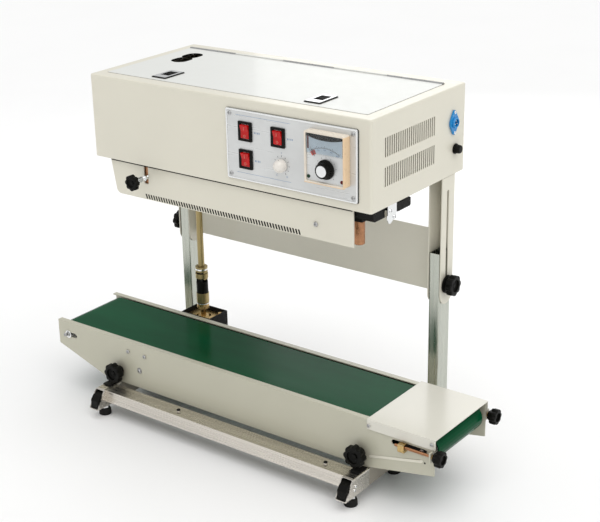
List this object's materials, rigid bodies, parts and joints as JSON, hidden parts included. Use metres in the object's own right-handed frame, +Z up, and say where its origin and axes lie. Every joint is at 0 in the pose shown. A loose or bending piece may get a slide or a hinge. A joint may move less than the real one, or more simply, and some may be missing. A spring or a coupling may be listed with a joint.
{
  "type": "continuous band sealer",
  "caption": "Bench continuous band sealer: boxy sealing head on two posts above a flat belt conveyor, with a telescopic drive shaft, hinged lid and clamp knobs.",
  "frame": {"origin": "on the floor under the middle of the machine's box", "axes": "+X along the conveyor towards the discharge end, +Y towards the back, +Z up"},
  "size_m": [0.839, 0.336, 0.6276],
  "materials": {
    "band_fabric": "coated glass cloth",
    "black_enamel": "enamel",
    "black_plastic": "moulded",
    "blue_plastic": "glossy",
    "brass": "machined brass",
    "circuit_green": "board",
    "copper": "copper coloured",
    "cream_paint": "smooth semi-gloss powder coat",
    "foot_rubber": "matt",
    "green_belt": "glossy polyurethane",
    "machined_steel": "machined",
    "panel_silver": "satin silver",
    "peach_plastic": "glossy",
    "pulley_rubber": "matt",
    "red_lens": "glossy red",
    "stainless": "polished stainless steel",
    "white_plastic": "glossy",
    "yellow_zinc": "yellow zinc plate"
  },
  "bodies": {
    "base": {"post_left": "stainless", "post_right": "stainless", "base_frame": "cream_paint", "front_bars": "stainless", "foot_front_left": "foot_rubber", "foot_front_right": "foot_rubber", "foot_middle_left": "foot_rubber", "foot_middle_right": "foot_rubber", "foot_rear_left": "foot_rubber", "foot_rear_right": "foot_rubber", "side_plate_front": "cream_paint", "side_plate_rear": "cream_paint", "conveyor_belt": "green_belt", "slider_bed": "machined_steel", "end_cover": "cream_paint", "gearbox_case": "black_enamel"},
    "head": {"head_casing": "cream_paint", "head_base_plate": "machined_steel", "lid_hinge": "machined_steel", "control_plate": "panel_silver", "controller_case": "peach_plastic", "power_socket": "blue_plastic", "fuse_holder": "black_plastic", "front_cover": "cream_paint", "gear_motor": "machined_steel", "sealing_band_front": "band_fabric", "sealing_band_rear": "band_fabric", "sealing_blocks": "brass", "guide_block": "black_plastic", "feed_guide": "stainless", "control_board": "circuit_green", "leg_frame": "cream_paint"},
    "lid": {"top_lid": "cream_paint"},
    "latch_left": {"latch_slider_left": "black_plastic"},
    "latch_right": {"latch_slider_right": "black_plastic"},
    "heater_switch": {"rocker_heater": "red_lens"},
    "motor_switch": {"rocker_motor": "red_lens"},
    "fan_switch": {"rocker_fan": "red_lens"},
    "speed_control": {"speed_knob": "white_plastic"},
    "temperature_control": {"temperature_knob": "black_plastic"},
    "pressure_screw": {"pressure_knob": "black_plastic"},
    "front_drive_pulley": {"band_pulley_front": "pulley_rubber"},
    "rear_drive_pulley": {"band_pulley_rear": "pulley_rubber"},
    "front_idler": {"band_idler_front": "pulley_rubber"},
    "rear_idler": {"band_idler_rear": "pulley_rubber"},
    "motor_pinion": {"motor_gear": "machined_steel"},
    "upper_shaft": {"drive_tube": "machined_steel"},
    "feed_roller": {"guide_roller": "copper"},
    "clamp_left": {"clamp_knob_left": "black_plastic"},
    "clamp_right": {"clamp_knob_right": "black_plastic"},
    "adjuster_left": {"height_knob_left": "black_plastic"},
    "adjuster_right": {"height_knob_right": "black_plastic"},
    "takeup_front": {"takeup_knob_front": "black_plastic"},
    "takeup_rear": {"takeup_knob_rear": "black_plastic"},
    "drum": {"drive_drum": "machined_steel"},
    "left_roller": {"roller_left": "machined_steel"},
    "right_roller": {"roller_right": "machined_steel"},
    "lower_shaft": {"input_gear": "brass", "joint_sleeve": "black_plastic", "drive_rod": "yellow_zinc"}
  },
  "joints": [
    {"name": "head_height", "type": "slide", "parent": "base", "child": "head", "axis": [0, 0, 1], "range_m": [-0.12, 0]},
    {"name": "lid_hinge", "type": "hinge", "parent": "head", "child": "lid", "pos_m": [-0.0015, 0.1383, 0.6256], "axis": [-1, 0, 0], "range_deg": [0, 100]},
    {"name": "latch_left_slide", "type": "slide", "parent": "lid", "child": "latch_left", "axis": [0, 1, 0], "range_m": [-0.012, 0]},
    {"name": "latch_right_slide", "type": "slide", "parent": "lid", "child": "latch_right", "axis": [0, 1, 0], "range_m": [-0.012, 0]},
    {"name": "heater_switch_rock", "type": "hinge", "parent": "head", "child": "heater_switch", "pos_m": [0.0505, -0.1015, 0.5755], "axis": [-1, 0, 0], "range_deg": [0, 16]},
    {"name": "motor_switch_rock", "type": "hinge", "parent": "head", "child": "motor_switch", "pos_m": [0.1145, -0.1015, 0.5755], "axis": [-1, 0, 0], "range_deg": [0, 16]},
    {"name": "fan_switch_rock", "type": "hinge", "parent": "head", "child": "fan_switch", "pos_m": [0.0505, -0.1015, 0.5303], "axis": [-1, 0, 0], "range_deg": [0, 16]},
    {"name": "speed_knob_turn", "type": "hinge", "parent": "head", "child": "speed_control", "pos_m": [0.12, -0.1049, 0.531], "axis": [0, 1, 0], "range_deg": [0, 300]},
    {"name": "temperature_knob_turn", "type": "hinge", "parent": "head", "child": "temperature_control", "pos_m": [0.212, -0.1167, 0.543], "axis": [0, 1, 0], "range_deg": [0, 270]},
    {"name": "pressure_knob_turn", "type": "hinge", "parent": "head", "child": "pressure_screw", "pos_m": [-0.1755, -0.126, 0.458], "axis": [0, 1, 0], "range_deg": [-720, 720]},
    {"name": "front_pulley_spin", "type": "hinge", "parent": "head", "child": "front_drive_pulley", "pos_m": [-0.1515, -0.066, 0.44], "axis": [0, 0, 1], "continuous": true},
    {"name": "rear_pulley_spin", "type": "hinge", "parent": "head", "child": "rear_drive_pulley", "pos_m": [-0.1515, -0.013, 0.44], "axis": [0, 0, 1], "continuous": true},
    {"name": "front_idler_spin", "type": "hinge", "parent": "head", "child": "front_idler", "pos_m": [0.1485, -0.066, 0.44], "axis": [0, 0, 1], "continuous": true},
    {"name": "rear_idler_spin", "type": "hinge", "parent": "head", "child": "rear_idler", "pos_m": [0.1485, -0.013, 0.44], "axis": [0, 0, 1], "continuous": true},
    {"name": "motor_gear_spin", "type": "hinge", "parent": "head", "child": "motor_pinion", "pos_m": [-0.1783, 0.04083, 0.499], "axis": [0, 0, 1], "continuous": true},
    {"name": "drive_tube_spin", "type": "hinge", "parent": "head", "child": "upper_shaft", "pos_m": [-0.2155, 0.08, 0.499], "axis": [0, 0, 1], "continuous": true},
    {"name": "guide_roller_spin", "type": "hinge", "parent": "head", "child": "feed_roller", "pos_m": [0.2315, -0.057, 0.425], "axis": [0, 0, 1], "continuous": true},
    {"name": "clamp_left_turn", "type": "hinge", "parent": "base", "child": "clamp_left", "pos_m": [-0.2935, 0.1215, 0.295], "axis": [1, 0, 0], "range_deg": [-360, 360]},
    {"name": "clamp_right_turn", "type": "hinge", "parent": "base", "child": "clamp_right", "pos_m": [0.2905, 0.1215, 0.295], "axis": [1, 0, 0], "range_deg": [-360, 360]},
    {"name": "adjuster_left_turn", "type": "hinge", "parent": "base", "child": "adjuster_left", "pos_m": [-0.2635, -0.1135, 0.076], "axis": [0, 1, 0], "range_deg": [-360, 360]},
    {"name": "adjuster_right_turn", "type": "hinge", "parent": "base", "child": "adjuster_right", "pos_m": [0.2655, -0.1135, 0.077], "axis": [0, 1, 0], "range_deg": [-360, 360]},
    {"name": "takeup_front_turn", "type": "hinge", "parent": "base", "child": "takeup_front", "pos_m": [0.4075, -0.1085, 0.114], "axis": [1, 0, 0], "range_deg": [-720, 720]},
    {"name": "takeup_rear_turn", "type": "hinge", "parent": "base", "child": "takeup_rear", "pos_m": [0.4075, 0.0615, 0.114], "axis": [1, 0, 0], "range_deg": [-720, 720]},
    {"name": "drum_spin", "type": "hinge", "parent": "base", "child": "drum", "pos_m": [-0.2155, -0.0235, 0.087], "axis": [0, 1, 0], "continuous": true},
    {"name": "left_roller_spin", "type": "hinge", "parent": "base", "child": "left_roller", "pos_m": [-0.3945, -0.0235, 0.114], "axis": [0, 1, 0], "continuous": true},
    {"name": "right_roller_spin", "type": "hinge", "parent": "base", "child": "right_roller", "pos_m": [0.3785, -0.0235, 0.114], "axis": [0, 1, 0], "continuous": true},
    {"name": "lower_shaft_spin", "type": "hinge", "parent": "base", "child": "lower_shaft", "pos_m": [-0.2155, 0.08, 0.115], "axis": [0, 0, 1], "continuous": true}
  ],
  "couplings": [
    {"joint": "lower_shaft_spin", "follows": "drum_spin", "ratio": 1},
    {"joint": "drive_tube_spin", "follows": "drum_spin", "ratio": 1},
    {"joint": "motor_gear_spin", "follows": "drum_spin", "ratio": -0.60606},
    {"joint": "rear_pulley_spin", "follows": "drum_spin", "ratio": 0.76923},
    {"joint": "front_pulley_spin", "follows": "drum_spin", "ratio": -0.76923},
    {"joint": "rear_idler_spin", "follows": "drum_spin", "ratio": 0.76923},
    {"joint": "front_idler_spin", "follows": "drum_spin", "ratio": -0.76923},
    {"joint": "left_roller_spin", "follows": "drum_spin", "ratio": 0.87805},
    {"joint": "right_roller_spin", "follows": "drum_spin", "ratio": 0.87805}
  ]
}
